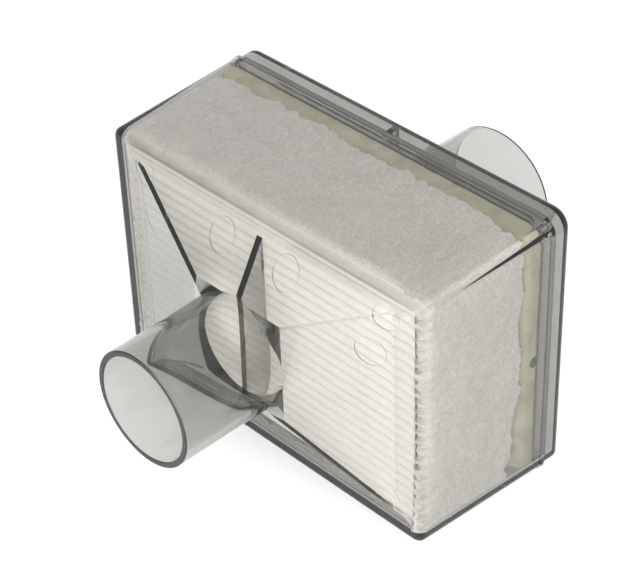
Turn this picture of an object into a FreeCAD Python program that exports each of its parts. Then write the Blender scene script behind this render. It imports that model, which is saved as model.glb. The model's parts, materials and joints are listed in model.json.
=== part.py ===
import FreeCAD, Part
import os

# Pleated breathing filter: a clear two-piece housing with a conical port on each side.
# Millimetres. +X right, +Y from the front port to the rear port, +Z up.
# The origin is under the middle of the overall box, level with its lowest edge.

SIZES = {
    # housing outline, measured at the front face
    "face_width": 74.2,
    "face_height": 51.4,
    "wall_slope": 0.042,
    "wall": 1.3,
    "tub_depth": 30.0,
    "cover_depth": 4.3,
    "corner_radius": 2.0,
    "face_round": 1.0,
    "inner_corner_radius": 1.2,
    "inner_face_round": 1.5,
    # small proud band round the open end of the front housing
    "lip_width": 0.9,
    "lip_rise": 0.15,
    # low pyramid that leads from the flat border to each port, whose tip is inside the port
    "side_border": 6.4,
    "top_border": 4.5,
    "side_slope": 0.305,
    "top_slope": 0.556,
    "hood_height": 7.5,
    "hood_cavity_height": 6.25,
    # front port: a short straight land at its mouth, then a slight taper
    "inlet_radius": 11.0,
    "inlet_wall": 1.15,
    "inlet_land": 12.0,
    "inlet_taper": 0.025,
    "inlet_reach": 27.5,
    # rear port: a socket for a cone of the front port's size
    "port_clearance": 0.2,
    "socket_depth": 16.0,
    "outlet_wall": 1.1,
    "outlet_taper": 0.017,
    "outlet_reach": 26.0,
    # centre ribs that keep the pleats off the ports
    "rib_thickness": 1.3,
    "rib_set_back": 0.5,
    "cover_rib_gap": 0.2,
    # round ejector marks inside the front pyramid, placed from the pyramid's foot
    "mark_depth": 0.12,
    "mark_radius": 2.8,
    "top_mark_x": 7.7,
    "top_mark_inset": 3.6,
    "side_mark_inset": 4.4,
    "side_mark_drop": 9.6,
    "corner_mark_radius": 2.6,
    "corner_mark_inset": 1.5,
    # rear cover
    "cover_inset": 0.15,
    "cover_corner_radius": 3.5,
    "cover_round": 1.5,
    "tongue_length": 1.6,
    "tongue_thickness": 0.8,
    "ledge_length": 1.2,
    "tongue_clearance": 0.15,
    # pleated pack with its fibre wrap
    "pack_front_gap": 1.3,
    "pack_overlap": 0.8,
    "wrap_gap": 0.3,
    "wrap_thickness": 1.2,
    "wrap_round": 1.5,
    "pleat_pitch": 2.02,
    "pleat_paper": 0.4,
    "fold_gap": 0.2,
    # sealant frame round the rear edge of the pack
    "sealant_width": 3.6,
    "sealant_gap": 0.25,
}
POINT_TOLERANCE = 1e-3

doc = FreeCAD.newDocument("pleated_filter")
sheet = doc.addObject("Spreadsheet::Sheet", "sizes")
for row, (name, value) in enumerate(SIZES.items(), start=1):
    sheet.set("A%d" % row, name)
    sheet.set("B%d" % row, str(value))
    sheet.setAlias("B%d" % row, name)
doc.recompute()

# Depths run back from the front face. AXIS is the height of the axis that both ports share.
BODY_DEPTH = "(sizes.tub_depth + sizes.cover_depth)"
FACE_Y = "((sizes.inlet_reach - %s - sizes.outlet_reach) / 2)" % BODY_DEPTH
AXIS = "(sizes.face_height / 2 + sizes.wall_slope * sizes.tub_depth + sizes.lip_rise)"
INLET_MOUTH = "(-sizes.inlet_reach)"
INLET_LAND_END = "(%s + sizes.inlet_land)" % INLET_MOUTH
INLET_ROOT = "(sizes.wall - sizes.hood_cavity_height)"
LIP_DEPTH = "(sizes.tub_depth - sizes.lip_width)"
TONGUE_DEPTH = "(sizes.tub_depth - sizes.tongue_length)"
LEDGE_DEPTH = "(sizes.tub_depth + sizes.ledge_length)"
COVER_FLOOR = "(%s - sizes.wall)" % BODY_DEPTH
OUTLET_ROOT = "(%s - %s)" % (BODY_DEPTH, INLET_ROOT)
OUTLET_MOUTH = "(%s + sizes.outlet_reach)" % BODY_DEPTH
SOCKET_START = "(%s - sizes.socket_depth)" % OUTLET_MOUTH
PACK_DEPTH = "(sizes.wall + sizes.pack_front_gap)"
PACK_END = "(%s - sizes.pack_overlap)" % TONGUE_DEPTH
SEALANT_DEPTH = "(%s - sizes.sealant_width)" % TONGUE_DEPTH

# Radii of the ports, and half sizes of the rectangles at the foot and the tip of the pyramids
BORE_RADIUS = "(sizes.inlet_radius - sizes.inlet_wall)"
SOCKET_RADIUS = "(sizes.inlet_radius + sizes.port_clearance)"
OUTLET_RADIUS = "(%s + sizes.outlet_wall)" % SOCKET_RADIUS
INLET_ROOT_RADIUS = "(sizes.inlet_radius + sizes.inlet_taper * (%s - %s))" % (INLET_ROOT, INLET_LAND_END)
OUTLET_ROOT_RADIUS = "(%s + sizes.outlet_taper * (%s - %s))" % (OUTLET_RADIUS, OUTLET_MOUTH, OUTLET_ROOT)
HOOD_FOOT = (
    "(sizes.face_width / 2 - sizes.side_border)",
    "(sizes.face_height / 2 - sizes.top_border)",
)
SLOPES = ("sizes.side_slope", "sizes.top_slope")
HOOD_TIP = tuple("(%s - sizes.hood_height / %s)" % pair for pair in zip(HOOD_FOOT, SLOPES))
HOOD_CAVITY_TIP = tuple("(%s - sizes.hood_cavity_height / %s)" % pair for pair in zip(HOOD_FOOT, SLOPES))
RIB_HALF = "(sizes.rib_thickness / 2)"


def outline(depth, inset):
    """Half width and half height of the drafted housing outline, moved in by inset."""
    return (
        "(sizes.face_width / 2 + sizes.wall_slope * (%s) - (%s))" % (depth, inset),
        "(sizes.face_height / 2 + sizes.wall_slope * (%s) - (%s))" % (depth, inset),
    )


def facet_height(depth):
    """Height above the port axis of the upper front facet, half way through its wall."""
    return "(%s + (%s - sizes.wall / 2) / sizes.top_slope)" % (HOOD_FOOT[1], depth)


def new_body(label):
    body = doc.addObject("PartDesign::Body", label)
    body.Label = label
    return body


def set_wedge(piece, near_depth, near, far_depth, far):
    """A block along Y between two centred rectangles, given by depth and half sizes."""
    for name, text in (
        ("Ymin", "%s + %s" % (FACE_Y, near_depth)),
        ("Ymax", "%s + %s" % (FACE_Y, far_depth)),
        ("Xmin", "-%s" % near[0]),
        ("Xmax", near[0]),
        ("Zmin", "%s - %s" % (AXIS, near[1])),
        ("Zmax", "%s + %s" % (AXIS, near[1])),
        ("X2min", "-%s" % far[0]),
        ("X2max", far[0]),
        ("Z2min", "%s - %s" % (AXIS, far[1])),
        ("Z2max", "%s + %s" % (AXIS, far[1])),
    ):
        piece.setExpression(name, text)


def wedge(body, kind, name, near_depth, near, far_depth, far):
    piece = body.newObject("PartDesign::%sWedge" % kind, name)
    set_wedge(piece, near_depth, near, far_depth, far)
    doc.recompute()
    return piece


def place_on_axis(piece, depth, x="0", z="0"):
    """Turns a round primitive along Y and puts its base at a depth, beside the port axis."""
    piece.Placement = FreeCAD.Placement(FreeCAD.Vector(), FreeCAD.Rotation(FreeCAD.Vector(1, 0, 0), -90))
    piece.setExpression(".Placement.Base.x", x)
    piece.setExpression(".Placement.Base.y", "%s + %s" % (FACE_Y, depth))
    piece.setExpression(".Placement.Base.z", "%s + %s" % (AXIS, z))


def cylinder(body, kind, name, radius, near_depth, far_depth):
    piece = body.newObject("PartDesign::%sCylinder" % kind, name)
    piece.setExpression("Radius", radius)
    piece.setExpression("Height", "%s - %s" % (far_depth, near_depth))
    place_on_axis(piece, near_depth)
    doc.recompute()
    return piece


def cone(body, kind, name, near_depth, near_radius, far_depth, far_radius):
    piece = body.newObject("PartDesign::%sCone" % kind, name)
    piece.setExpression("Radius1", near_radius)
    piece.setExpression("Radius2", far_radius)
    piece.setExpression("Height", "%s - %s" % (far_depth, near_depth))
    place_on_axis(piece, near_depth)
    doc.recompute()
    return piece


def corner_edges(shape):
    """The sharp edges that run from front to back at the corners of the housing's outline."""
    xs = [vertex.X for vertex in shape.Vertexes]
    zs = [vertex.Z for vertex in shape.Vertexes]
    middle = (max(zs) + min(zs)) / 2
    wider = (max(xs) - min(xs) - max(zs) + min(zs)) / 2
    names = []
    for number, edge in enumerate(shape.Edges, 1):
        points = [vertex.Point for vertex in edge.Vertexes]
        along = abs(points[0].y - points[-1].y)
        across = abs(points[0].x - points[-1].x)
        cornered = all(abs(abs(p.x) - abs(p.z - middle) - wider) < POINT_TOLERANCE for p in points)
        if cornered and along > 2 * across:
            names.append("Edge%d" % number)
    return names


def edges_at(shape, y):
    """The edges that lie in one plane across the port axis."""
    names = []
    for number, edge in enumerate(shape.Edges, 1):
        middle = edge.valueAt((edge.FirstParameter + edge.LastParameter) / 2)
        points = [middle] + [vertex.Point for vertex in edge.Vertexes]
        if all(abs(point.y - y) < POINT_TOLERANCE for point in points):
            names.append("Edge%d" % number)
    return names


def fillet(body, name, base, edges, radius):
    piece = body.newObject("PartDesign::Fillet", name)
    piece.Base = (base, edges)
    piece.setExpression("Radius", radius)
    doc.recompute()
    return piece


def pin(name, radius, x, z):
    """A round tool that reaches from the port's root to the inside of the front face."""
    piece = doc.addObject("Part::Cylinder", name)
    piece.setExpression("Radius", radius)
    piece.setExpression("Height", "sizes.wall - %s" % INLET_ROOT)
    place_on_axis(piece, INLET_ROOT, x, z)
    return piece


def block(name, near_depth, near, far_depth, far):
    """A loose block along Y between two centred rectangles."""
    piece = doc.addObject("Part::Wedge", name)
    set_wedge(piece, near_depth, near, far_depth, far)
    return piece


def fuse(name, pieces):
    whole = doc.addObject("Part::MultiFuse", name)
    whole.Shapes = pieces
    return whole


# Front housing: deep tub, low pyramid, front port and centre rib in one moulding
front = new_body("front_tub")
tub_block = wedge(
    front,
    "Additive",
    "tub_block",
    "0",
    outline("0", "0"),
    "sizes.tub_depth",
    outline("sizes.tub_depth", "0"),
)
tub = fillet(front, "tub_corners", tub_block, corner_edges(tub_block.Shape), "sizes.corner_radius")
fillet(front, "face_edge", tub, edges_at(tub.Shape, tub_block.Ymin.Value), "sizes.face_round")
lip = wedge(
    front,
    "Additive",
    "end_lip",
    LIP_DEPTH,
    outline(LIP_DEPTH, "-sizes.lip_rise"),
    "sizes.tub_depth",
    outline("sizes.tub_depth", "-sizes.lip_rise"),
)
fillet(front, "lip_corners", lip, corner_edges(lip.Shape), "sizes.corner_radius")
cavity = wedge(
    front,
    "Subtractive",
    "tub_cavity",
    "sizes.wall",
    outline("sizes.wall", "sizes.wall"),
    "(sizes.tub_depth + sizes.wall)",
    outline("sizes.tub_depth + sizes.wall", "sizes.wall"),
)
hollow = fillet(front, "cavity_corners", cavity, corner_edges(cavity.Shape), "sizes.inner_corner_radius")
fillet(front, "cavity_edge", hollow, edges_at(hollow.Shape, cavity.Ymin.Value), "sizes.inner_face_round")
wedge(front, "Additive", "hood", "(-sizes.hood_height)", HOOD_TIP, "0", HOOD_FOOT)
cylinder(front, "Additive", "inlet_land", "sizes.inlet_radius", INLET_MOUTH, INLET_LAND_END)
cone(front, "Additive", "inlet_cone", INLET_LAND_END, "sizes.inlet_radius", INLET_ROOT, INLET_ROOT_RADIUS)
wedge(front, "Subtractive", "hood_cavity", INLET_ROOT, HOOD_CAVITY_TIP, "sizes.wall", HOOD_FOOT)
cylinder(front, "Subtractive", "inlet_bore", BORE_RADIUS, INLET_MOUTH, INLET_ROOT)
RIB_EDGE = "(sizes.wall - sizes.rib_set_back)"
wedge(
    front,
    "Additive",
    "inlet_rib",
    INLET_ROOT,
    (RIB_HALF, facet_height(INLET_ROOT)),
    RIB_EDGE,
    (RIB_HALF, facet_height(RIB_EDGE)),
)

# Ejector marks: shallow round steps on the inside of the pyramid and of its border
MARK_FACE = "(sizes.wall - sizes.mark_depth)"
pins = []
for side, sign in (("left", "-"), ("right", "")):
    top_x = sign + "sizes.top_mark_x"
    top_z = "(%s - sizes.top_mark_inset)" % HOOD_FOOT[1]
    side_x = "%s(%s - sizes.side_mark_inset)" % (sign, HOOD_FOOT[0])
    side_z = "(%s - sizes.side_mark_drop)" % HOOD_FOOT[1]
    pins.append(pin("top_pin_" + side, "sizes.mark_radius", top_x, top_z))
    pins.append(pin("side_pin_" + side, "sizes.mark_radius", side_x, side_z))
    for level, up in (("low", "-"), ("high", "")):
        corner_x = "%s(%s - sizes.corner_mark_inset)" % (sign, HOOD_FOOT[0])
        corner_z = "%s(%s - sizes.corner_mark_inset)" % (up, HOOD_FOOT[1])
        corner_name = "corner_pin_%s_%s" % (side, level)
        pins.append(pin(corner_name, "sizes.corner_mark_radius", corner_x, corner_z))
BORDER = outline("sizes.wall", "2 * sizes.wall")
mark_border = block("mark_border", MARK_FACE, BORDER, "sizes.wall", BORDER)
mark_facets = block("mark_facets", "(%s - sizes.mark_depth)" % INLET_ROOT, HOOD_CAVITY_TIP, MARK_FACE, HOOD_FOOT)
marks = doc.addObject("Part::Common", "ejector_marks")
marks.Base = fuse("mark_floor", [mark_border, mark_facets])
marks.Tool = fuse("ejector_pins", pins)
front_housing = doc.addObject("Part::Cut", "front_housing")
front_housing.Base = front
front_housing.Tool = marks
front_housing.Label = "front_housing"
doc.recompute()

# Rear cover: thin tray with a ledge and tongue inside the tub, low pyramid, socket port and rib
cover = new_body("rear_cover")
cover_block = wedge(
    cover,
    "Additive",
    "cover_block",
    "sizes.tub_depth",
    outline("sizes.tub_depth", "sizes.cover_inset"),
    BODY_DEPTH,
    outline(BODY_DEPTH, "sizes.cover_inset"),
)
cover_corners = corner_edges(cover_block.Shape)
tray = fillet(cover, "cover_corners", cover_block, cover_corners, "sizes.cover_corner_radius")
fillet(cover, "cover_edge", tray, edges_at(tray.Shape, cover_block.Ymax.Value), "sizes.cover_round")
TONGUE_INSET = "(sizes.wall + sizes.tongue_clearance)"
TRAY_INSET = "(sizes.cover_inset + sizes.wall)"
tray_cavity = wedge(
    cover,
    "Subtractive",
    "tray_cavity",
    "sizes.tub_depth",
    outline("sizes.tub_depth", TRAY_INSET),
    COVER_FLOOR,
    outline(COVER_FLOOR, TRAY_INSET),
)
tray_corners = corner_edges(tray_cavity.Shape)
fillet(cover, "tray_corners", tray_cavity, tray_corners, "(sizes.cover_corner_radius - sizes.wall)")
tongue = wedge(
    cover,
    "Additive",
    "tongue",
    TONGUE_DEPTH,
    outline(TONGUE_DEPTH, TONGUE_INSET),
    LEDGE_DEPTH,
    outline(LEDGE_DEPTH, TONGUE_INSET),
)
fillet(cover, "tongue_corners", tongue, corner_edges(tongue.Shape), "sizes.inner_corner_radius")
LEDGE_INSET = "(%s + sizes.tongue_thickness)" % TONGUE_INSET
wedge(
    cover,
    "Subtractive",
    "tongue_inside",
    TONGUE_DEPTH,
    outline(TONGUE_DEPTH, LEDGE_INSET),
    LEDGE_DEPTH,
    outline(LEDGE_DEPTH, LEDGE_INSET),
)
OUTER_TIP = "(%s + sizes.hood_height)" % BODY_DEPTH
wedge(cover, "Additive", "cover_hood", BODY_DEPTH, HOOD_FOOT, OUTER_TIP, HOOD_TIP)
cone(cover, "Additive", "outlet_cone", OUTLET_ROOT, OUTLET_ROOT_RADIUS, OUTLET_MOUTH, OUTLET_RADIUS)
wedge(cover, "Subtractive", "cover_hood_cavity", COVER_FLOOR, HOOD_FOOT, OUTLET_ROOT, HOOD_CAVITY_TIP)
cylinder(cover, "Subtractive", "outlet_bore", BORE_RADIUS, OUTLET_ROOT, OUTLET_MOUTH)
cylinder(cover, "Subtractive", "outlet_socket", SOCKET_RADIUS, SOCKET_START, OUTLET_MOUTH)
COVER_RIB_EDGE = "(sizes.tub_depth + sizes.cover_rib_gap)"
COVER_RIB_STEP = "(%s - sizes.wall / 2)" % BODY_DEPTH
COVER_RIB_INSET = "sizes.cover_inset + sizes.wall / 2"
wedge(
    cover,
    "Additive",
    "cover_rib",
    COVER_RIB_EDGE,
    (RIB_HALF, outline(COVER_RIB_EDGE, COVER_RIB_INSET)[1]),
    COVER_RIB_STEP,
    (RIB_HALF, outline(COVER_RIB_STEP, COVER_RIB_INSET)[1]),
)
wedge(
    cover,
    "Additive",
    "outlet_rib",
    COVER_RIB_STEP,
    (RIB_HALF, HOOD_FOOT[1]),
    OUTLET_ROOT,
    (RIB_HALF, facet_height(INLET_ROOT)),
)

# Pleated pack: one continuous folded sheet, cut from a block by grooves from both sides
media = new_body("pleated_media")
WRAP_INSET = "(sizes.wall + sizes.wrap_gap)"
MEDIA = outline(PACK_DEPTH, "%s + sizes.wrap_thickness" % WRAP_INSET)
wedge(media, "Additive", "media_block", PACK_DEPTH, MEDIA, PACK_END, MEDIA)
PLEATS = "floor(2 * %s / sizes.pleat_pitch)" % MEDIA[1]
PITCH = "(2 * %s / %s)" % (MEDIA[1], PLEATS)
OPEN_HALF = "(%s / 2 - sizes.pleat_paper - sizes.fold_gap / 2)" % PITCH
FOLD_HALF = "(sizes.fold_gap / 2)"
PACK_FRONT_FOLD = "(%s + sizes.pleat_paper)" % PACK_DEPTH
PACK_BACK_FOLD = "(%s - sizes.pleat_paper)" % PACK_END


def pleat_grooves(name, first, copies, near_depth, near_half, far_depth, far_half):
    """A row of V grooves across the pack; first is the height of the lowest above the pack's base."""
    groove = media.newObject("PartDesign::SubtractiveWedge", name)
    middle = "%s - %s + %s" % (AXIS, MEDIA[1], first)
    reach = "(%s + sizes.wall)" % MEDIA[0]
    set_wedge(groove, near_depth, (reach, near_half), far_depth, (reach, far_half))
    for prop, text in (
        ("Zmin", "%s - %s" % (middle, near_half)),
        ("Zmax", "%s + %s" % (middle, near_half)),
        ("Z2min", "%s - %s" % (middle, far_half)),
        ("Z2max", "%s + %s" % (middle, far_half)),
    ):
        groove.setExpression(prop, text)
    doc.recompute()
    row = media.newObject("PartDesign::LinearPattern", name + "_row")
    row.Originals = [groove]
    vertical = next(axis for axis in media.Origin.OriginFeatures if axis.Role == "Z_Axis")
    row.Direction = (vertical, [""])
    row.setExpression("Occurrences", copies)
    row.setExpression("Length", "%s * (%s - 1)" % (PITCH, copies))
    media.Tip = row
    doc.recompute()


pleat_grooves("front_groove", "%s / 2" % PITCH, PLEATS, PACK_DEPTH, OPEN_HALF, PACK_BACK_FOLD, FOLD_HALF)
pleat_grooves("back_groove", PITCH, "(%s - 1)" % PLEATS, PACK_FRONT_FOLD, FOLD_HALF, PACK_END, OPEN_HALF)

# Fibre wrap: a soft sleeve that fills the space between the pack and the drafted walls
wrap = new_body("fibre_wrap")
wrap_block = wedge(
    wrap,
    "Additive",
    "wrap_block",
    PACK_DEPTH,
    outline(PACK_DEPTH, WRAP_INSET),
    SEALANT_DEPTH,
    outline(SEALANT_DEPTH, WRAP_INSET),
)
fillet(wrap, "wrap_corners", wrap_block, corner_edges(wrap_block.Shape), "sizes.wrap_round")
wedge(wrap, "Subtractive", "wrap_inside", PACK_DEPTH, MEDIA, SEALANT_DEPTH, MEDIA)

# Sealant: a frame that bonds the rear end of the pack to the cover's tongue
sealant = new_body("sealant_frame")
SEALANT_INSET = "(sizes.wall + sizes.sealant_gap)"
sealant_block = wedge(
    sealant,
    "Additive",
    "sealant_block",
    SEALANT_DEPTH,
    outline(SEALANT_DEPTH, SEALANT_INSET),
    TONGUE_DEPTH,
    outline(TONGUE_DEPTH, SEALANT_INSET),
)
fillet(sealant, "sealant_corners", sealant_block, corner_edges(sealant_block.Shape), "sizes.inner_corner_radius")
wedge(sealant, "Subtractive", "sealant_inside", SEALANT_DEPTH, MEDIA, TONGUE_DEPTH, MEDIA)

doc.recompute()
NODES = [front_housing, cover, media, wrap, sealant]
for item in doc.Objects:
    if "Invalid" in item.State or "Error" in item.State:
        raise RuntimeError("%s did not build" % item.Label)
for node in NODES:
    if node.Shape.isNull() or not node.Shape.isValid() or len(node.Shape.Solids) != 1:
        raise RuntimeError("%s is not one valid solid" % node.Label)
os.makedirs("parts", exist_ok=True)
for node in NODES:
    node.Shape.exportStep("parts/%s.step" % node.Label)
    print(node.Label, round(node.Shape.Volume), "cubic mm")
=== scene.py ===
import json
import math

import bmesh
import bpy
from mathutils import Matrix, Vector, noise


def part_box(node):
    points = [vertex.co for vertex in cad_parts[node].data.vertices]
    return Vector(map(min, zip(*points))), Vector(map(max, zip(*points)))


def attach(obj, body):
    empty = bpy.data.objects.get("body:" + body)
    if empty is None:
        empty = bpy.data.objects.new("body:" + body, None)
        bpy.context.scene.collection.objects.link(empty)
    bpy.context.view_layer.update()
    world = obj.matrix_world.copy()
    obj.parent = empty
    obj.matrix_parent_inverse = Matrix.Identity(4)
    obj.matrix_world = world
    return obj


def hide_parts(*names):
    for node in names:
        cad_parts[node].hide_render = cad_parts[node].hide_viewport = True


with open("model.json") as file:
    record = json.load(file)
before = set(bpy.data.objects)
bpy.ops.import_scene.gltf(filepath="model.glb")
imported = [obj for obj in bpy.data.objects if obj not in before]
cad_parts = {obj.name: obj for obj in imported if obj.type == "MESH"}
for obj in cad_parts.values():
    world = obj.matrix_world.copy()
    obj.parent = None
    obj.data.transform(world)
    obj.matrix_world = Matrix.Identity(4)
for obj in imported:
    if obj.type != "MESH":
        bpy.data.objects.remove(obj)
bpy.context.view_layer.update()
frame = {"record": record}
BODY = "root"
MM = 0.001

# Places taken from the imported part, in millimetres. Depths run back from the front face.
MOUNTS = {mount["name"]: mount for mount in frame["record"]["mounts"]}
INLET = MOUNTS["inlet_port"]
SOCKET = MOUNTS["outlet_port"]
AXIS_Z = INLET["pos_m"][2] / MM
RIM_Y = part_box("front_housing")[1].y / MM
TUB_DEPTH = 30.0
FACE_Y = RIM_Y - TUB_DEPTH
INLET_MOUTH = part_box("front_housing")[0].y / MM - FACE_Y
OUTLET_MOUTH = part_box("rear_cover")[1].y / MM - FACE_Y

# Clear mouldings, in millimetres
DRAFT = 0.042
WALL = 1.3
BODY_DEPTH = 34.3
LIP_RISE = 0.15
LIP_WIDTH = 0.9
FACE_HALF_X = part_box("front_housing")[1].x / MM - LIP_RISE - DRAFT * TUB_DEPTH
FACE_HALF_Z = AXIS_Z - LIP_RISE - DRAFT * TUB_DEPTH
CORNER = 2.0
REAR_CORNER = 3.2
LOW_CORNER = 2.0
FACE_ROUND = 1.3
INNER_CORNER = 1.2
INNER_REAR_CORNER = 0.8
INNER_LOW_CORNER = 1.6
SHARPEST_CORNER = 0.3
INNER_ROUND = 1.7
FOOT_X = FACE_HALF_X - 6.4
FOOT_Z = FACE_HALF_Z - 4.5
SIDE_SLOPE = 0.305
TOP_SLOPE = 0.556
HOOD = 7.5
CAVITY = 6.25
PORT_RADIUS = INLET["dims"]["r_mm"]
PORT_LAND = INLET["dims"]["length_mm"]
PORT_TAPER = 0.025
BORE = PORT_RADIUS - 1.15
SOCKET_RADIUS = SOCKET["dims"]["r_mm"]
SOCKET_DEPTH = SOCKET["dims"]["length_mm"]
OUTLET_RADIUS = SOCKET_RADIUS + 1.1
OUTLET_TAPER = 0.017
MOUTH_ROUND = 0.25
COVER_INSET = 0.15
COVER_CORNER = 3.5
COVER_ROUND = 1.5
JOINT_GAP = 0.03
TONGUE_START = TUB_DEPTH - 1.6
LEDGE_END = TUB_DEPTH + 1.2
TONGUE_INSET = WALL + 0.15
TONGUE_WALL = 0.8
RIB_HALF = 0.65
RIB_EDGE = WALL - 0.5
MARK_DEPTH = 0.12

# Filter pack, in millimetres
PACK_FRONT = WALL + 1.3
PACK_END = TONGUE_START - 0.8
WRAP_END = TONGUE_START - 3.6
WRAP_INSET = WALL + 0.3
WRAP_THICKNESS = 1.2
FELT_FRONT = PACK_FRONT + 0.1
MEDIA_HALF_X = FACE_HALF_X + DRAFT * PACK_FRONT - WRAP_INSET - WRAP_THICKNESS
MEDIA_HALF_Z = FACE_HALF_Z + DRAFT * PACK_FRONT - WRAP_INSET - WRAP_THICKNESS
PLEATS = 22
PITCH = 2 * MEDIA_HALF_Z / PLEATS
PAPER_THICKNESS = 0.18
PAPER_OVERHANG = 0.3
FOLD_WAVER = 0.42
FELT_THICKNESS = 0.8
STRAND_RADIUS = 0.02
GLUE_FRONT = WRAP_END - 2.4
GLUE_END = TONGUE_START - 0.06
# Place of a bubble in the glue: the glue's colour paints a dark spot of painted shade there, with no hollow
# in the mesh
BUBBLE = (36.5, 27.4, -1.4)

# Steps round a corner, along a side and over a small rounded edge
CORNER_STEPS = 12
SIDE_STEPS = 12
ROUND_STEPS = 8


def at(x, depth, z):
    """A point in millimetres from the port axis and the front face, in the part's frame."""
    return Vector((x, FACE_Y + depth, AXIS_Z + z)) * MM


def box_ring(half_x, half_z, radius, depth, corner_steps=CORNER_STEPS, side_steps=SIDE_STEPS, low=None):
    """A rectangle with rounded corners across the port axis; low is the radius of the two lower ones."""
    low = radius if low is None else low
    points = []
    for quarter, (side_x, side_z) in enumerate(((1, 1), (-1, 1), (-1, -1), (1, -1))):
        for step in range(corner_steps + 1):
            angle = (quarter + step / corner_steps) * math.pi / 2
            bend = radius if side_z > 0 else low
            x = side_x * (half_x - bend) + bend * math.cos(angle)
            z = side_z * (half_z - bend) + bend * math.sin(angle)
            points.append((x, z))
        end_x, end_z = points[-1]
        bend = low if quarter in (1, 2) else radius
        next_x = (-half_x + bend) * side_x if quarter % 2 == 0 else end_x
        next_z = end_z if quarter % 2 == 0 else (-half_z + bend) * side_z
        for step in range(1, side_steps):
            share = step / side_steps
            points.append((end_x + share * (next_x - end_x), end_z + share * (next_z - end_z)))
    return [at(x, depth, z) for x, z in points]


def round_ring(radius, depth):
    """A circle with the same count of points as a rectangle's ring."""
    count = 4 * (CORNER_STEPS + SIDE_STEPS)
    angles = [2 * math.pi * step / count for step in range(count)]
    return [at(radius * math.cos(angle), depth, radius * math.sin(angle)) for angle in angles]


def outline(inset, radius, depth, corner_steps=CORNER_STEPS, side_steps=SIDE_STEPS, low=None):
    """A ring of the drafted housing, moved in by inset."""
    half_x = FACE_HALF_X + DRAFT * depth - inset
    half_z = FACE_HALF_Z + DRAFT * depth - inset
    return box_ring(half_x, half_z, radius, depth, corner_steps, side_steps, low)


def add_object(name, data):
    """A new object in the scene, at the origin."""
    piece = bpy.data.objects.new(name, data)
    bpy.context.scene.collection.objects.link(piece)
    return piece


def add_mesh(name, points, faces):
    """A mesh object whose doubles are merged and whose faces point outwards."""
    mesh = bpy.data.meshes.new(name)
    mesh.from_pydata(points, [], faces)
    skin = bmesh.new()
    skin.from_mesh(mesh)
    bmesh.ops.remove_doubles(skin, verts=skin.verts, dist=0.0005 * MM)
    bmesh.ops.dissolve_degenerate(skin, edges=skin.edges, dist=0.0002 * MM)
    bmesh.ops.recalc_face_normals(skin, faces=skin.faces)
    skin.to_mesh(mesh)
    skin.free()
    return add_object(name, mesh)


def loft(name, rings, ends="capped"):
    """A skin through rings of like count, with capped ends or joined from last to first."""
    count = len(rings[0])
    points = [point for ring in rings for point in ring]
    faces = []
    for row in range(len(rings) if ends == "joined" else len(rings) - 1):
        after = (row + 1) % len(rings)
        for column in range(count):
            beside = (column + 1) % count
            faces.append(
                (row * count + column, row * count + beside, after * count + beside, after * count + column)
            )
    if ends == "capped":
        faces.append(tuple(range(count)))
        faces.append(tuple(range(len(points) - count, len(points))))
    return add_mesh(name, points, faces)


def apply_modifiers(piece):
    """Turns a piece and its modifiers into a plain mesh."""
    graph = bpy.context.evaluated_depsgraph_get()
    mesh = bpy.data.meshes.new_from_object(piece.evaluated_get(graph), depsgraph=graph)
    piece.modifiers.clear()
    piece.data = mesh
    mesh.name = piece.name
    return piece


def combine(piece, tool, operation):
    """Joins a tool to a piece, cuts it out or keeps what both share, and removes the tool."""
    change = piece.modifiers.new("combine", "BOOLEAN")
    change.operation = operation
    change.solver = "EXACT"
    change.object = tool
    apply_modifiers(piece)
    bpy.data.objects.remove(tool)


def smooth(piece, angle=14.0):
    """Smooth shading that keeps flat faces flat and edges over the angle sharp."""
    mesh = piece.data
    mesh.shade_smooth()
    mesh.set_sharp_from_angle(angle=math.radians(angle))
    weights = piece.modifiers.new("weights", "WEIGHTED_NORMAL")
    weights.keep_sharp = True
    weights.weight = 100
    apply_modifiers(piece)


def quarter_turn():
    """Cosines and sines of the steps round a small rounded edge."""
    angles = [step / ROUND_STEPS * math.pi / 2 for step in range(ROUND_STEPS + 1)]
    return [(math.cos(angle), math.sin(angle)) for angle in angles]


def hood_tip(reach):
    """Half sizes of a pyramid at its reach above its foot."""
    return FOOT_X - reach / SIDE_SLOPE, FOOT_Z - reach / TOP_SLOPE


def port_tube(name, root_depth, root_radius, land_depth, radius, mouth, outward):
    """A port's solid outside, with a rounded rim; outward is the way along the axis from root to mouth."""
    rings = [round_ring(root_radius, root_depth), round_ring(radius, land_depth)]
    for cosine, sine in quarter_turn():
        depth = mouth - outward * MOUTH_ROUND * (1 - sine)
        rings.append(round_ring(radius - MOUTH_ROUND * (1 - cosine), depth))
    return loft(name, rings)


def port_bore(name, root_depth, radius, mouth, outward):
    """The tool for a port's bore, flared at the mouth like the rim."""
    rings = [round_ring(radius, root_depth)]
    for cosine, sine in quarter_turn():
        depth = mouth - outward * MOUTH_ROUND * (1 - sine)
        rings.append(round_ring(radius + MOUTH_ROUND * (1 - cosine), depth))
    rings.append(round_ring(radius + MOUTH_ROUND, mouth + outward))
    return loft(name, rings)


def rib_plate(name, profile):
    """A plate across the middle of a moulding, from pairs of depth and half height."""
    rings = []
    for depth, half in profile:
        corners = ((-RIB_HALF, -half), (RIB_HALF, -half), (RIB_HALF, half), (-RIB_HALF, half))
        rings.append([at(x, depth, z) for x, z in corners])
    return loft(name, rings)


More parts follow.
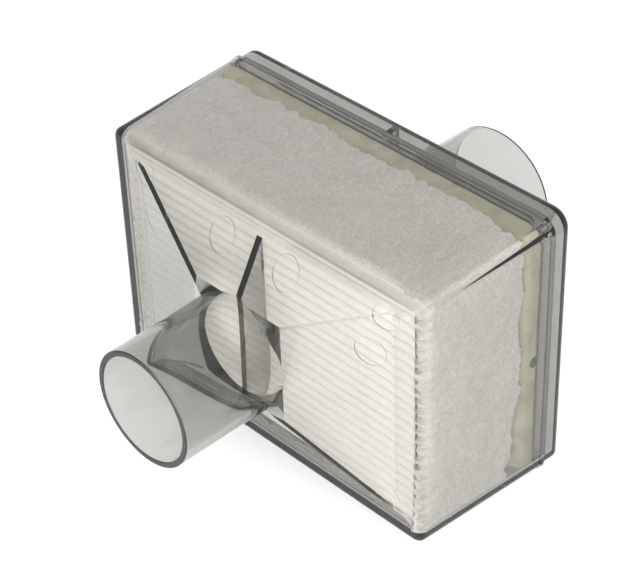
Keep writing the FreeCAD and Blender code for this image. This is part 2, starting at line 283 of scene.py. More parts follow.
def front_cavity():
    """The tool for the inside of the tub and its pyramid."""
    rings = [outline(WALL, INNER_REAR_CORNER, TUB_DEPTH + 1, low=INNER_LOW_CORNER)]
    for cosine, sine in quarter_turn():
        moved = INNER_ROUND * (1 - cosine)
        corner = max(INNER_CORNER - moved, SHARPEST_CORNER)
        low = max(INNER_LOW_CORNER - moved, SHARPEST_CORNER)
        rings.append(outline(WALL + moved, corner, WALL + INNER_ROUND * (1 - sine), low=low))
    rings.append(box_ring(FOOT_X, FOOT_Z, 0, WALL))
    rings.append(box_ring(*hood_tip(CAVITY), 0, WALL - CAVITY))
    return loft("cavity", rings)


def ejector_marks():
    """Round tools whose ends lie a little deeper than the inside of the front face."""
    spots = []
    for side in (-1, 1):
        spots += [(side * 7.7, FOOT_Z - 3.6, 2.8), (side * (FOOT_X - 4.4), FOOT_Z - 9.6, 2.8)]
        spots += [(side * (FOOT_X - 1.5), up * (FOOT_Z - 1.5), 2.6) for up in (-1, 1)]
    points, faces = [], []
    count = 64
    for x, z, radius in spots:
        first = len(points)
        for depth in (-CAVITY, WALL + 0.4):
            for step in range(count):
                angle = 2 * math.pi * step / count
                points.append(at(x + radius * math.cos(angle), depth, z + radius * math.sin(angle)))
        faces += [
            (first + i, first + (i + 1) % count, first + count + (i + 1) % count, first + count + i)
            for i in range(count)
        ]
        faces.append(tuple(range(first, first + count)))
        faces.append(tuple(range(first + count, first + 2 * count)))
    marks = add_mesh("marks", points, faces)
    deeper = front_cavity()
    deeper.data.transform(Matrix.Translation((0, -MARK_DEPTH * MM, 0)))
    combine(marks, deeper, "INTERSECT")
    return marks


def front_shell():
    """Deep tub, low pyramid, front port and centre rib in one clear moulding."""
    lip = TUB_DEPTH - LIP_WIDTH
    rings = [outline(-LIP_RISE, REAR_CORNER, depth, low=LOW_CORNER) for depth in (TUB_DEPTH, lip)]
    rings.append(outline(0, REAR_CORNER, lip, low=LOW_CORNER))
    for cosine, sine in quarter_turn():
        inset = FACE_ROUND * (1 - cosine)
        rings.append(outline(inset, CORNER - inset, FACE_ROUND * (1 - sine)))
    rings.append(box_ring(FOOT_X, FOOT_Z, 0, 0))
    rings.append(box_ring(*hood_tip(HOOD), 0, -HOOD))
    shell = loft("front_housing_shell", rings)
    root = WALL - CAVITY
    land = INLET_MOUTH + PORT_LAND
    root_radius = PORT_RADIUS + PORT_TAPER * (root - land)
    tube = port_tube("tube", root, root_radius, land, PORT_RADIUS, INLET_MOUTH, -1)
    combine(shell, tube, "UNION")
    combine(shell, front_cavity(), "DIFFERENCE")
    combine(shell, port_bore("bore", root + 1, BORE, INLET_MOUTH, -1), "DIFFERENCE")
    half = [(depth, FOOT_Z + (depth - WALL / 2) / TOP_SLOPE) for depth in (root, RIB_EDGE)]
    combine(shell, rib_plate("rib", half), "UNION")
    combine(shell, ejector_marks(), "DIFFERENCE")
    smooth(shell)
    return shell


def cover_shell():
    """Thin tray with a ledge and tongue, low pyramid, socket port and rib in one clear moulding."""
    joint = TUB_DEPTH + JOINT_GAP
    floor_depth = BODY_DEPTH - WALL
    root = floor_depth + CAVITY
    rings = [outline(COVER_INSET, COVER_CORNER, joint, low=LOW_CORNER)]
    for cosine, sine in quarter_turn():
        inset = COVER_ROUND * (1 - cosine)
        depth = BODY_DEPTH - COVER_ROUND * (1 - sine)
        rings.append(outline(COVER_INSET + inset, COVER_CORNER - inset, depth, low=LOW_CORNER - inset))
    rings.append(box_ring(FOOT_X, FOOT_Z, 0, BODY_DEPTH))
    rings.append(box_ring(*hood_tip(HOOD), 0, BODY_DEPTH + HOOD))
    shell = loft("rear_cover_shell", rings)
    flare = OUTLET_RADIUS + OUTLET_TAPER * (OUTLET_MOUTH - root)
    tube = port_tube("tube", root, flare, OUTLET_MOUTH - MOUTH_ROUND, OUTLET_RADIUS, OUTLET_MOUTH, 1)
    combine(shell, tube, "UNION")
    tray = [
        outline(COVER_INSET + WALL, COVER_CORNER - WALL, TUB_DEPTH - 1, low=INNER_LOW_CORNER),
        outline(COVER_INSET + WALL, COVER_CORNER - WALL, floor_depth, low=INNER_LOW_CORNER),
        box_ring(FOOT_X, FOOT_Z, 0, floor_depth),
        box_ring(*hood_tip(CAVITY), 0, root),
    ]
    combine(shell, loft("tray", tray), "DIFFERENCE")
    stop = OUTLET_MOUTH - SOCKET_DEPTH
    combine(shell, port_bore("socket", stop, SOCKET_RADIUS, OUTLET_MOUTH, 1), "DIFFERENCE")
    bore = [round_ring(BORE, root - 1), round_ring(BORE, stop + 1)]
    combine(shell, loft("bore", bore), "DIFFERENCE")
    inside = TONGUE_INSET + TONGUE_WALL
    tongue = [
        outline(TONGUE_INSET, INNER_CORNER, TONGUE_START),
        outline(TONGUE_INSET, INNER_CORNER, TUB_DEPTH - 0.05),
        outline(COVER_INSET + WALL - 0.1, INNER_CORNER, TUB_DEPTH + 0.05),
        outline(COVER_INSET + WALL - 0.1, INNER_CORNER, LEDGE_END),
        outline(inside, INNER_CORNER / 2, LEDGE_END),
        outline(inside, INNER_CORNER / 2, TONGUE_START),
    ]
    combine(shell, loft("tongue", tongue, ends="joined"), "UNION")
    step = BODY_DEPTH - WALL / 2
    wide = [FACE_HALF_Z + DRAFT * depth - COVER_INSET - WALL / 2 for depth in (TUB_DEPTH + 0.2, step)]
    combine(shell, rib_plate("rib", [(TUB_DEPTH + 0.2, wide[0]), (step, wide[1])]), "UNION")
    near_half = FOOT_Z + (WALL / 2 - CAVITY) / TOP_SLOPE
    combine(shell, rib_plate("rib", [(step - 0.1, FOOT_Z), (root, near_half)]), "UNION")
    smooth(shell)
    return shell


# Geometry node trees: rows of pleats and loose strands of felt
def start_tree(name, inputs):
    """A tree with geometry in and out and named inputs, as pairs of name and socket type."""
    tree = bpy.data.node_groups.new(name, "GeometryNodeTree")
    tree.interface.new_socket("Geometry", in_out="INPUT", socket_type="NodeSocketGeometry")
    for label, kind in inputs:
        tree.interface.new_socket(label, in_out="INPUT", socket_type=kind)
    tree.interface.new_socket("Geometry", in_out="OUTPUT", socket_type="NodeSocketGeometry")
    return tree, tree.nodes.new("NodeGroupInput"), tree.nodes.new("NodeGroupOutput")


def add_node(tree, kind, links=(), values=(), **settings):
    """A node with its settings, linked inputs and fixed values, by socket name or number."""
    node = tree.nodes.new(kind)
    for key, value in settings.items():
        setattr(node, key, value)
    for socket, source in dict(links).items():
        tree.links.new(source, node.inputs[socket])
    for socket, value in dict(values).items():
        node.inputs[socket].default_value = value
    return node


def finish_tree(tree, given, out, geometry):
    """Ends a tree in plain geometry with its material."""
    whole = add_node(tree, "GeometryNodeRealizeInstances", {"Geometry": geometry})
    coat = add_node(
        tree,
        "GeometryNodeSetMaterial",
        {"Geometry": whole.outputs["Geometry"], "Material": given.outputs["Material"]},
    )
    tree.links.new(coat.outputs["Geometry"], out.inputs["Geometry"])
    return tree


def pleat_tree():
    """Repeats one pleat up the pack and lets the folds waver a little, as folded paper does."""
    tree, given, out = start_tree(
        "pleat_rows",
        (
            ("Pitch", "NodeSocketFloat"),
            ("Pleats", "NodeSocketInt"),
            ("Waver", "NodeSocketFloat"),
            ("Seed", "NodeSocketFloat"),
            ("Material", "NodeSocketMaterial"),
        ),
    )
    pitch = add_node(tree, "ShaderNodeCombineXYZ", {"Z": given.outputs["Pitch"]})
    rows = add_node(
        tree,
        "GeometryNodeMeshLine",
        {"Count": given.outputs["Pleats"], "Offset": pitch.outputs[0]},
        mode="OFFSET",
    )
    pleats = add_node(
        tree,
        "GeometryNodeInstanceOnPoints",
        {"Points": rows.outputs[0], "Instance": given.outputs["Geometry"]},
    )
    folded = add_node(tree, "GeometryNodeRealizeInstances", {"Geometry": pleats.outputs[0]})
    joined = add_node(
        tree, "GeometryNodeMergeByDistance", {"Geometry": folded.outputs[0]}, {"Distance": 0.01 * MM}
    )
    place = add_node(tree, "GeometryNodeInputPosition")
    stretch = add_node(
        tree, "ShaderNodeVectorMath", {0: place.outputs[0]}, {1: (1.0, 0.25, 0.6)}, operation="MULTIPLY"
    )
    waves = add_node(
        tree,
        "ShaderNodeTexNoise",
        {"Vector": stretch.outputs[0], "W": given.outputs["Seed"]},
        {"Scale": 110.0, "Detail": 2.0},
        noise_dimensions="4D",
    )
    centred = add_node(
        tree,
        "ShaderNodeVectorMath",
        {0: waves.outputs["Color"]},
        {1: (0.5, 0.5, 0.5)},
        operation="SUBTRACT",
    )
    folds_only = add_node(
        tree, "ShaderNodeVectorMath", {0: centred.outputs[0]}, {1: (0.0, 0.8, 1.0)}, operation="MULTIPLY"
    )
    shift = add_node(
        tree,
        "ShaderNodeVectorMath",
        {0: folds_only.outputs[0], "Scale": given.outputs["Waver"]},
        operation="SCALE",
    )
    moved = add_node(
        tree, "GeometryNodeSetPosition", {"Geometry": joined.outputs[0], "Offset": shift.outputs[0]}
    )
    return finish_tree(tree, given, out, moved.outputs[0])


def strand_tree():
    """Scatters thin bent strands over a surface, each lying flat on it."""
    tree, given, out = start_tree(
        "felt_strands",
        (
            ("Density", "NodeSocketFloat"),
            ("Length", "NodeSocketFloat"),
            ("Thickness", "NodeSocketFloat"),
            ("Turn", "NodeSocketFloat"),
            ("Spread", "NodeSocketFloat"),
            ("Seed", "NodeSocketInt"),
            ("Material", "NodeSocketMaterial"),
        ),
    )
    spots = add_node(
        tree,
        "GeometryNodeDistributePointsOnFaces",
        {
            "Mesh": given.outputs["Geometry"],
            "Density": given.outputs["Density"],
            "Seed": given.outputs["Seed"],
        },
    )
    half = add_node(tree, "ShaderNodeMath", {0: given.outputs["Length"]}, {1: 0.5}, operation="MULTIPLY")
    back = add_node(tree, "ShaderNodeMath", {0: given.outputs["Length"]}, {1: -0.5}, operation="MULTIPLY")
    sag = add_node(tree, "ShaderNodeMath", {0: given.outputs["Length"]}, {1: 0.35}, operation="MULTIPLY")
    start = add_node(tree, "ShaderNodeCombineXYZ", {"X": back.outputs[0]})
    middle = add_node(tree, "ShaderNodeCombineXYZ", {"Y": sag.outputs[0]})
    end = add_node(tree, "ShaderNodeCombineXYZ", {"X": half.outputs[0]})
    line = add_node(
        tree,
        "GeometryNodeCurveQuadraticBezier",
        {"Start": start.outputs[0], "Middle": middle.outputs[0], "End": end.outputs[0]},
        {"Resolution": 5},
    )
    section = add_node(
        tree, "GeometryNodeCurvePrimitiveCircle", {"Radius": given.outputs["Thickness"]}, {"Resolution": 3}
    )
    strand = add_node(
        tree,
        "GeometryNodeCurveToMesh",
        {"Curve": line.outputs[0], "Profile Curve": section.outputs[0]},
        {"Fill Caps": True},
    )
    low = add_node(
        tree, "ShaderNodeMath", {0: given.outputs["Turn"], 1: given.outputs["Spread"]}, operation="SUBTRACT"
    )
    high = add_node(
        tree, "ShaderNodeMath", {0: given.outputs["Turn"], 1: given.outputs["Spread"]}, operation="ADD"
    )
    angle = add_node(
        tree,
        "FunctionNodeRandomValue",
        {2: low.outputs[0], 3: high.outputs[0], "Seed": given.outputs["Seed"]},
    )
    spin = add_node(
        tree, "FunctionNodeAxisAngleToRotation", {"Angle": angle.outputs[1]}, {"Axis": (0, 0, 1)}
    )
    turned = add_node(
        tree,
        "FunctionNodeRotateRotation",
        {"Rotation": spots.outputs["Rotation"], "Rotate By": spin.outputs[0]},
        rotation_space="LOCAL",
    )
    size = add_node(tree, "FunctionNodeRandomValue", {"Seed": given.outputs["Seed"]}, {2: 0.5, 3: 1.4})
    strands = add_node(
        tree,
        "GeometryNodeInstanceOnPoints",
        {
            "Points": spots.outputs["Points"],
            "Instance": strand.outputs[0],
            "Rotation": turned.outputs[0],
            "Scale": size.outputs[1],
        },
    )
    return finish_tree(tree, given, out, strands.outputs[0])


def grow(piece, tree, values):
    """Runs a tree on a piece with values by input name, and keeps the result as a plain mesh."""
    change = piece.modifiers.new(tree.name, "NODES")
    change.node_group = tree
    for item in tree.interface.items_tree:
        if item.in_out == "INPUT" and item.name in values:
            change[item.identifier] = values[item.name]
    return apply_modifiers(piece)


# Filter pack: folded paper, felt sleeve, glue frame
def pleated_paper(material):
    """One folded sheet: broad rounded folds with narrow gaps, front and back."""
    deep = PACK_END - PACK_FRONT
    rear_half = (
        (0.0, deep),
        (0.22, deep - 0.04),
        (0.35, deep - 0.2),
        (0.405, deep - 0.55),
        (0.41, deep - 1.0),
    )
    front_half = ((0.045, 1.2), (0.065, 0.7), (0.11, 0.38), (0.19, 0.17), (0.32, 0.05), (0.5, 0.0))
    leg = ((0.303, deep * 0.67), (0.197, deep * 0.33))
    first = rear_half + leg + front_half
    profile = list(first) + [(1 - share, depth) for share, depth in reversed(first[:-1])]
    columns = 48
    points, faces = [], []
    for share, depth in profile:
        for column in range(columns + 1):
            x = (MEDIA_HALF_X + PAPER_OVERHANG) * (2 * column / columns - 1)
            points.append(at(x, PACK_FRONT + depth, -MEDIA_HALF_Z + share * PITCH))
    for row in range(len(profile) - 1):
        for column in range(columns):
            here = row * (columns + 1) + column
            faces.append((here, here + 1, here + columns + 2, here + columns + 1))
    mesh = bpy.data.meshes.new("pleated_paper")
    mesh.from_pydata(points, [], faces)
    piece = add_object("pleated_paper", mesh)
    values = {
        "Pitch": PITCH * MM,
        "Pleats": PLEATS,
        "Waver": FOLD_WAVER * MM,
        "Seed": 3.0,
        "Material": material,
    }
    grow(piece, pleat_tree(), values)
    paper = piece.modifiers.new("paper", "SOLIDIFY")
    paper.thickness = PAPER_THICKNESS * MM
    paper.offset = 0
    apply_modifiers(piece)
    piece.data.shade_smooth()
    piece.data.set_sharp_from_angle(angle=math.radians(50))
    return piece


def felt_sleeve(material):
    """A lumpy sleeve of felt along the drafted walls, with a ragged rear edge."""
    corner_steps, side_steps = 10, 118
    rows = 46
    rings = []
    for row in range(rows + 1):
        share = row / rows
        depth = FELT_FRONT + share * (WRAP_END - FELT_FRONT)
        outer = outline(WRAP_INSET, 0.9, depth, corner_steps, side_steps)
        inner = outline(WRAP_INSET + FELT_THICKNESS, 0.5, depth, corner_steps, side_steps)
        crown = 0.55 * max(0.0, 1 - row / 3) ** 2
        ring = []
        for near, far in zip(outer, inner):
            spot = near / MM
            lump = 0.16 * noise.noise(spot * 0.28) + 0.10 * noise.noise(spot * 1.1)
            lump += 0.06 * noise.noise(spot * 2.7)
            ragged = 1.1 * noise.noise(Vector((spot.x * 0.16, 3.1, spot.z * 0.16)))
            ragged += 0.8 * noise.noise(Vector((spot.x * 0.7, 9.4, spot.z * 0.7)))
            frayed = 0.9 * max(0.0, noise.noise(Vector((spot.x * 2.3, 1.7, spot.z * 2.3))))
            from_corner = MEDIA_HALF_X - abs(spot.x)
            low_side = min(max((AXIS_Z - 8 - spot.z) / 14, 0.0), 1.0) if from_corner < 0 else 0.0
            ragged -= 2.4 * low_side + 1.3 * min(max(1 - from_corner / 6, 0.0), 1.0)
            if from_corner < 0:
                pressed = max(0.0, 1 - (depth - FELT_FRONT) / 3.5)
                lump += 0.24 * pressed * math.cos(2 * math.pi * (spot.z - AXIS_Z) / PITCH)
            slide = (share ** 4) * (ragged + frayed) + (1 - share) ** 4 * 0.5 * ragged
            pressed_in = min(max(0.13 + lump + crown, 0.0), 0.9)
            ring.append(near.lerp(far, pressed_in) + Vector((0, slide * MM, 0)))
        rings.append(ring)
    last = rings[-1]
    for depth in (WRAP_END, (WRAP_END + FELT_FRONT) / 2, FELT_FRONT):
        inner = outline(WRAP_INSET + FELT_THICKNESS, 0.5, depth, corner_steps, side_steps)
        if depth == WRAP_END:
            inner = [Vector((near.x, far.y, near.z)) for near, far in zip(inner, last)]
        rings.append(inner)
    piece = loft("felt_wrap", rings, ends="joined")
    piece.data.shade_smooth()
    piece.data.set_sharp_from_angle(angle=math.radians(60))
    piece.data.materials.append(material)
    return piece


def felt_sides(name, sleeve, near, far):
    """The outer faces of the felt's four sides between two depths, away from its corners."""
    skin = bmesh.new()
    skin.from_mesh(sleeve.data)
    spare = []
    for face in skin.faces:
        middle = face.calc_center_median() / MM
        depth = middle.y - FACE_Y
        to_side = FACE_HALF_X + DRAFT * depth - WRAP_INSET - abs(middle.x)
        to_top = FACE_HALF_Z + DRAFT * depth - WRAP_INSET - abs(middle.z - AXIS_Z)
        outside = min(to_side, to_top) < 0.8 and max(to_side, to_top) > 1.6
        if not outside or not near < depth < far or abs(face.normal.y) > 0.6:
            spare.append(face)
    bmesh.ops.delete(skin, geom=spare, context="FACES")
    mesh = bpy.data.meshes.new(name)
    skin.to_mesh(mesh)
    skin.free()
    return add_object(name, mesh)


def felt_strands(material, sleeve):
    """Loose strands on the felt's four sides and along its ragged edge."""
    pieces = []
    tree = strand_tree()
    fields = (
        ("felt_strands", FELT_FRONT + 0.6, WRAP_END + 2.0, 0.7e6, 3.4, 11),
        ("felt_fringe", WRAP_END - 0.9, WRAP_END + 2.0, 2.4e6, 1.8, 23),
    )
    for name, near, far, density, length, seed in fields:
        piece = felt_sides(name, sleeve, near, far)
        values = {
            "Density": density,
            "Length": length * MM,
            "Thickness": STRAND_RADIUS * MM,
            "Turn": 0.0,
            "Spread": math.pi,
            "Seed": seed,
            "Material": material,
        }
        pieces.append(grow(piece, tree, values))
    return pieces


def glue_frame(material):
    """The cured frame of glue that holds the pack's rear end, with its front edge under the felt."""
    corner_steps, side_steps = 10, 54
    inner_x, inner_z = MEDIA_HALF_X + 0.04, MEDIA_HALF_Z + 0.04
    profile = (
        (GLUE_FRONT, 3.0, 0.5),
        (WRAP_END - 0.9, 2.75, 0.6),
        (WRAP_END - 0.1, 2.2, 0.8),
        (WRAP_END + 0.6, 1.72, 1.1),
        (WRAP_END + 1.5, 1.62, 1.2),
        (WRAP_END + 2.6, 1.60, 1.2),
        (TONGUE_START - 0.35, 1.64, 1.2),
        (GLUE_END, 1.95, 1.0),
    )
    rings = []
    for depth, inset, corner in profile:
        ring = outline(inset, corner, depth, corner_steps, side_steps)
        inner = outline(inset + 0.5, corner, depth, corner_steps, side_steps)
        lumped = []
        for near, far in zip(ring, inner):
            spot = near / MM
            lump = 0.25 * abs(noise.noise(spot * 0.35)) + 0.35 * abs(noise.noise(spot * 0.9))
            lumped.append(near.lerp(far, min(lump, 1.0)))
        rings.append(lumped)
    for depth in (GLUE_END, GLUE_FRONT):
        rings.append(box_ring(inner_x, inner_z, 0.05, depth, corner_steps, side_steps))
    piece = loft("glue_frame", rings, ends="joined")
    piece.data.shade_smooth()
    piece.data.set_sharp_from_angle(angle=math.radians(60))
    piece.data.materials.append(material)
    return piece


# Materials
def start_material(name):
    """A material with its node tree and its shader."""
    material = bpy.data.materials.new(name)
    material.use_nodes = True
    return material, material.node_tree, material.node_tree.nodes["Principled BSDF"]


def felt_grain_group():
    """Cloudy tone and fine tangled strands, used by the felt and the folded paper."""
    group = bpy.data.node_groups.new("felt_grain", "ShaderNodeTree")
    for label in ("Cloud Scale", "Strand Scale"):
        group.interface.new_socket(label, in_out="INPUT", socket_type="NodeSocketFloat")
    for label in ("Tone", "Height"):
        group.interface.new_socket(label, in_out="OUTPUT", socket_type="NodeSocketFloat")
    given = group.nodes.new("NodeGroupInput")
    out = group.nodes.new("NodeGroupOutput")
    place = add_node(group, "ShaderNodeTexCoord")
    clouds = add_node(
        group,
        "ShaderNodeTexNoise",
        {"Vector": place.outputs["Object"], "Scale": given.outputs["Cloud Scale"]},
        {"Detail": 3.0, "Roughness": 0.6, "Distortion": 0.4},
    )
    heights = []
    for turn in ((0.5, 0.3, 0.6), (-0.6, 1.0, -0.5), (1.2, -0.4, 1.5), (0.2, 2.2, -1.2)):
        turned = add_node(
            group,
            "ShaderNodeVectorRotate",
            {"Vector": place.outputs["Object"]},
            {"Rotation": turn},
            rotation_type="EULER_XYZ",
        )
        drawn = add_node(
            group,
            "ShaderNodeVectorMath",
            {0: turned.outputs[0]},
            {1: (1.0, 9.0, 9.0)},
            operation="MULTIPLY",
        )
        lines = add_node(
            group,
            "ShaderNodeTexNoise",
            {"Vector": drawn.outputs[0], "Scale": given.outputs["Strand Scale"]},
            {"Detail": 2.0, "Roughness": 0.55, "Distortion": 0.6},
        )
        heights.append(lines.outputs[0])
    first = add_node(group, "ShaderNodeMath", {0: heights[0], 1: heights[1]}, operation="MAXIMUM")
    second = add_node(group, "ShaderNodeMath", {0: heights[2], 1: heights[3]}, operation="MAXIMUM")
    height = add_node(
        group, "ShaderNodeMath", {0: first.outputs[0], 1: second.outputs[0]}, operation="MAXIMUM"
    )
    tangle = add_node(
        group,
        "ShaderNodeMapRange",
        {"Value": height.outputs[0]},
        {"From Min": 0.5, "From Max": 0.7, "To Max": 0.75},
    )
    tone = add_node(
        group,
        "ShaderNodeMath",
        {0: clouds.outputs[0], 2: tangle.outputs[0]},
        {1: 0.3},
        operation="MULTIPLY_ADD",
    )
    group.links.new(tone.outputs[0], out.inputs["Tone"])
    group.links.new(height.outputs[0], out.inputs["Height"])
    return group


def fibrous(name, group, dark, pale, cloud_scale, strand_scale, bump):
    """Matt fibrous stuff between two tones."""
    material, tree, shader = start_material(name)
    scales = {"Cloud Scale": cloud_scale, "Strand Scale": strand_scale}
    grain = add_node(tree, "ShaderNodeGroup", (), scales, node_tree=group)
    ramp = tree.nodes.new("ShaderNodeValToRGB")
    ramp.color_ramp.elements[0].position = 0.25
    ramp.color_ramp.elements[0].color = (*dark, 1)
    ramp.color_ramp.elements[1].position = 0.75
    ramp.color_ramp.elements[1].color = (*pale, 1)
    tree.links.new(grain.outputs["Tone"], ramp.inputs[0])
    tree.links.new(ramp.outputs[0], shader.inputs["Base Color"])
    relief = add_node(
        tree, "ShaderNodeBump", {"Height": grain.outputs["Height"]}, {"Strength": bump, "Distance": 0.1 * MM}
    )
    tree.links.new(relief.outputs[0], shader.inputs["Normal"])
    shader.inputs["Roughness"].default_value = 0.9
    shader.inputs["Specular IOR Level"].default_value = 0.2
    return material


def smoke_plastic():
    """Clear smoke-tinted styrene, a little uneven from the mould."""
    material, tree, glass = start_material("smoke_plastic")
    out = tree.nodes["Material Output"]
    place = add_node(tree, "ShaderNodeTexCoord")
    flow = add_node(
        tree,
        "ShaderNodeTexNoise",
        {"Vector": place.outputs["Object"]},
        {"Scale": 55.0, "Detail": 3.0, "Distortion": 1.5},
    )
    tint = tree.nodes.new("ShaderNodeValToRGB")
    tint.color_ramp.elements[0].position = 0.3
    tint.color_ramp.elements[0].color = (0.80, 0.795, 0.785, 1)
    tint.color_ramp.elements[1].position = 0.7
    tint.color_ramp.elements[1].color = (0.84, 0.835, 0.825, 1)
    tree.links.new(flow.outputs[0], tint.inputs[0])
    tree.links.new(tint.outputs[0], glass.inputs["Base Color"])
    haze = add_node(
        tree,
        "ShaderNodeMapRange",
        {"Value": flow.outputs[0]},
        {"From Min": 0.35, "From Max": 0.7, "To Min": 0.0, "To Max": 0.035},
    )
    tree.links.new(haze.outputs[0], glass.inputs["Roughness"])
    relief = add_node(
        tree, "ShaderNodeBump", {"Height": flow.outputs[0]}, {"Strength": 0.25, "Distance": 0.1 * MM}
    )
    tree.links.new(relief.outputs[0], glass.inputs["Normal"])
    glass.inputs["IOR"].default_value = 1.5
    glass.inputs["Transmission Weight"].default_value = 1.0
    through = tree.nodes.new("ShaderNodeBsdfTransparent")
    through.inputs["Color"].default_value = (0.96, 0.96, 0.955, 1)
    path = tree.nodes.new("ShaderNodeLightPath")
    either = add_node(
        tree,
        "ShaderNodeMath",
        {0: path.outputs["Is Shadow Ray"], 1: path.outputs["Is Diffuse Ray"]},
        operation="MAXIMUM",
    )
    mix = tree.nodes.new("ShaderNodeMixShader")
    tree.links.new(either.outputs[0], mix.inputs[0])
    tree.links.new(glass.outputs[0], mix.inputs[1])
    tree.links.new(through.outputs[0], mix.inputs[2])
    tree.links.new(mix.outputs[0], out.inputs["Surface"])
    smoke = tree.nodes.new("ShaderNodeVolumeAbsorption")
    smoke.inputs["Color"].default_value = (0.405, 0.40, 0.375, 1)
    smoke.inputs["Density"].default_value = 385.0
    tree.links.new(smoke.outputs[0], out.inputs["Volume"])
    return material


def cured_glue():
    """Olive glue, mottled darker where its bumps are low, with a dark spot of painted shade at one bubble on
    the right, and a soft shine.
    """
    material, tree, shader = start_material("cured_glue")
    place = add_node(tree, "ShaderNodeTexCoord")
    pools = add_node(
        tree,
        "ShaderNodeTexNoise",
        {"Vector": place.outputs["Object"]},
        {"Scale": 260.0, "Detail": 4.0, "Distortion": 1.0},
    )
    ramp = tree.nodes.new("ShaderNodeValToRGB")
    ramp.color_ramp.elements[0].position = 0.3
    ramp.color_ramp.elements[0].color = (0.46, 0.45, 0.31, 1)
    ramp.color_ramp.elements[1].position = 0.7
    ramp.color_ramp.elements[1].color = (0.67, 0.66, 0.49, 1)
    # Near-black end of the ramp, reached only at the bubble: painted shade
    ramp.color_ramp.elements.new(0.02).color = (0.06, 0.06, 0.05, 1)
    # Mask of the bubble's dark spot, a noisy disc round BUBBLE: painted shade
    apart = add_node(
        tree,
        "ShaderNodeVectorMath",
        {0: place.outputs["Object"]},
        {1: at(*BUBBLE)},
        operation="DISTANCE",
    )
    ragged = add_node(
        tree,
        "ShaderNodeMath",
        {0: pools.outputs[0], 2: apart.outputs["Value"]},
        {1: -1.6 * MM},
        operation="MULTIPLY_ADD",
    )
    rim = add_node(
        tree,
        "ShaderNodeMapRange",
        {"Value": ragged.outputs[0]},
        {"From Min": -0.1 * MM, "From Max": 0.4 * MM, "To Min": 0.8, "To Max": 0.0},
    )
    # Mottled tone minus the bubble's painted shade
    tone_with_bubble_shade = add_node(
        tree, "ShaderNodeMath", {0: pools.outputs[0], 1: rim.outputs[0]}, operation="SUBTRACT"
    )
    tree.links.new(tone_with_bubble_shade.outputs[0], ramp.inputs[0])
    tree.links.new(ramp.outputs[0], shader.inputs["Base Color"])
    relief = add_node(
        tree, "ShaderNodeBump", {"Height": pools.outputs[0]}, {"Strength": 0.5, "Distance": 0.2 * MM}
    )
    tree.links.new(relief.outputs[0], shader.inputs["Normal"])
    shader.inputs["Roughness"].default_value = 0.4
    return material


# Camera, as found from the photograph's outline
CAMERA_PLACE = Vector((208.93, -199.68, 252.97)) * MM
CAMERA_AZIMUTH = math.radians(46.845)
CAMERA_ELEVATION = math.radians(37.86)
CAMERA_ROLL = math.radians(-2.05)
CAMERA_LENS = 119.13
SENSOR_WIDTH = 36.0


def make_camera():
    """The camera, turned about its own place."""
    data = bpy.data.cameras.new("camera")
    data.sensor_width = SENSOR_WIDTH
    data.lens = CAMERA_LENS
    data.clip_start = 0.01
    data.clip_end = 10.0
    camera = add_object("camera", data)
    turn = (
        Matrix.Rotation(CAMERA_AZIMUTH, 4, "Z")
        @ Matrix.Rotation(math.pi / 2 - CAMERA_ELEVATION, 4, "X")
        @ Matrix.Rotation(CAMERA_ROLL, 4, "Z")
    )
    camera.matrix_world = Matrix.Translation(CAMERA_PLACE) @ turn
    bpy.context.scene.camera = camera


def seen_rays(tree):
    """One for camera, glossy and transmission rays, which see the white studio; zero for the rest."""
    path = tree.nodes.new("ShaderNodeLightPath")
    both = add_node(
        tree,
        "ShaderNodeMath",
        {0: path.outputs["Is Camera Ray"], 1: path.outputs["Is Glossy Ray"]},
        operation="MAXIMUM",
    )
    every = add_node(
        tree,
        "ShaderNodeMath",
        {0: both.outputs[0], 1: path.outputs["Is Transmission Ray"]},
        operation="MAXIMUM",
    )
    return every.outputs[0]


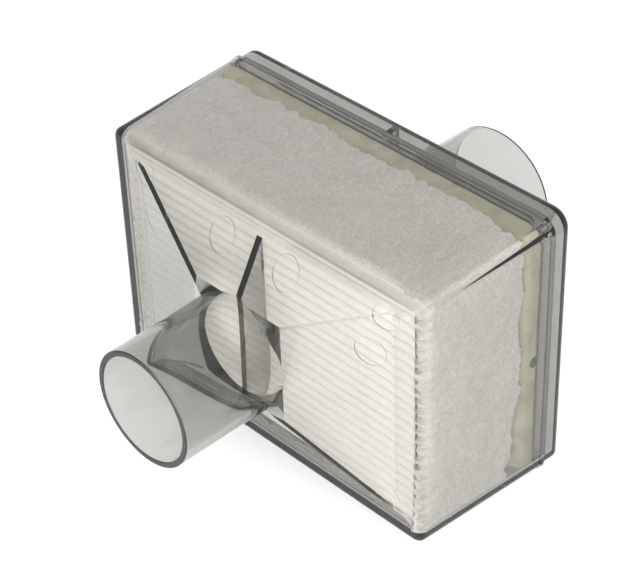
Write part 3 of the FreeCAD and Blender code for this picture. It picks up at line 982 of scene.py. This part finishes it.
def studio_floor():
    """Pale floor that looks white and keeps the object's shadow."""
    reach = 3.0
    corners = [(-reach, -reach, 0), (reach, -reach, 0), (reach, reach, 0), (-reach, reach, 0)]
    mesh = bpy.data.meshes.new("studio_floor")
    mesh.from_pydata(corners, [], [(0, 1, 2, 3)])
    piece = add_object("studio_floor", mesh)
    material, tree, shader = start_material("floor_paper")
    shader.inputs["Base Color"].default_value = (0.5, 0.5, 0.5, 1)
    shader.inputs["Roughness"].default_value = 0.9
    shader.inputs["Specular IOR Level"].default_value = 0.0
    white = tree.nodes.new("ShaderNodeEmission")
    lift = add_node(tree, "ShaderNodeMath", {0: seen_rays(tree)}, {1: 0.44}, operation="MULTIPLY")
    tree.links.new(lift.outputs[0], white.inputs["Strength"])
    both = tree.nodes.new("ShaderNodeAddShader")
    tree.links.new(shader.outputs[0], both.inputs[0])
    tree.links.new(white.outputs[0], both.inputs[1])
    tree.links.new(both.outputs[0], tree.nodes["Material Output"].inputs["Surface"])
    mesh.materials.append(material)


def studio_world():
    """Even white light from all round."""
    world = bpy.data.worlds.new("studio")
    world.use_nodes = True
    back = world.node_tree.nodes["Background"]
    back.inputs["Color"].default_value = (1, 1, 1, 1)
    back.inputs["Strength"].default_value = 1.0
    bpy.context.scene.world = world


def studio_lamp(name, place, aim, size, watts):
    """A round soft lamp, not seen in reflections."""
    data = bpy.data.lights.new(name, "AREA")
    data.shape = "DISK"
    data.size = size
    data.energy = watts
    lamp = add_object(name, data)
    lamp.location = place
    lamp.visible_glossy = False
    lamp.visible_transmission = False
    lamp.rotation_mode = "QUATERNION"
    lamp.rotation_quaternion = (Vector(aim) - Vector(place)).to_track_quat("-Z", "Y")


make_camera()
studio_floor()
studio_world()
studio_lamp("front_lamp", (0.11, -0.15, 0.055), (0, 0, 0.025), 0.1, 0.54)
studio_lamp("top_lamp", (0.18, 0.05, 0.55), (0, 0, 0.03), 0.5, 1.75)
bpy.context.scene.view_settings.view_transform = "Standard"

smoke = smoke_plastic()
for make, node in ((front_shell, "front_housing"), (cover_shell, "rear_cover")):
    shell = make()
    shell.data.materials.clear()
    shell.data.materials.append(smoke)
    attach(shell, BODY)
    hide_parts(node)

grain = felt_grain_group()
paper = fibrous("filter_paper", grain, (0.82, 0.805, 0.77), (0.91, 0.895, 0.86), 140.0, 500.0, 0.3)
felt = fibrous("white_felt", grain, (0.70, 0.685, 0.65), (0.93, 0.915, 0.875), 120.0, 370.0, 0.8)
strand = fibrous("felt_strand", grain, (0.80, 0.79, 0.77), (0.88, 0.87, 0.85), 300.0, 2000.0, 0.1)
glue = cured_glue()
sleeve = felt_sleeve(felt)
for piece, node, slot in (
    (pleated_paper(paper), "pleated_media", "filter_paper"),
    (sleeve, "fibre_wrap", "fibre_mat"),
    (glue_frame(glue), "sealant_frame", "sealant"),
):
    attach(piece, BODY)
    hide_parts(node)
strands = felt_strands(strand, sleeve)
for piece in strands:
    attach(piece, BODY)
